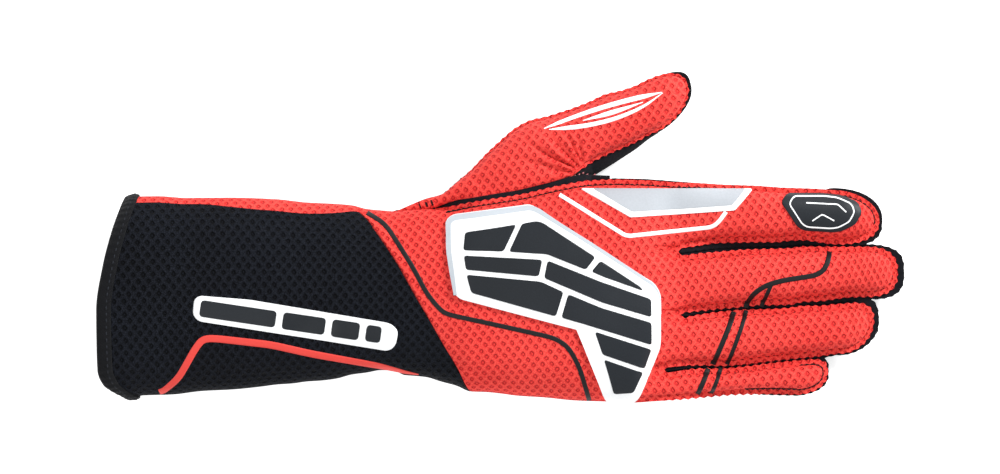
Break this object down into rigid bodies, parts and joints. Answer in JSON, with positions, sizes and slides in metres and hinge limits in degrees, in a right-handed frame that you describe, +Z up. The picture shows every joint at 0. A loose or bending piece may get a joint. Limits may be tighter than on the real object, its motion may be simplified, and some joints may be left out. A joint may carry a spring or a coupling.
{
  "type": "karting glove",
  "caption": "Right-hand karting glove with a long flared gauntlet, dimpled mesh back, suede palm, outer finger seams and a moulded knuckle patch, lying palm down.",
  "frame": {"origin": "bottom centre of the bounding box, on the ground under the lying glove", "axes": "+X from the cuff to the fingertips, +Y to the thumb side, +Z up through the back of the hand"},
  "size_m": [0.3232, 0.133, 0.0311],
  "materials": {
    "red_mesh": "matt red dimpled mesh",
    "black_mesh": "matt black dimpled mesh",
    "black_suede": "matt black synthetic suede",
    "black_tape": "woven black binding tape",
    "knuckle_film": "satin white film with dark grey panels",
    "silver_film": "satin silver film with a white edge",
    "dark_film": "satin dark grey film"
  },
  "bodies": {
    "root": {"hand_back": "red_mesh", "palm": "black_suede", "thumb_back": "red_mesh", "thumb_palm": "black_suede", "thumb_welt": "black_suede", "gauntlet_back": "black_mesh", "gauntlet_side": "red_mesh", "gauntlet_palm": "black_suede", "cuff_tape": "black_tape", "knuckle_patch": "knuckle_film", "index_panel": "silver_film", "fingertip_patch": "dark_film"}
  },
  "joints": []
}
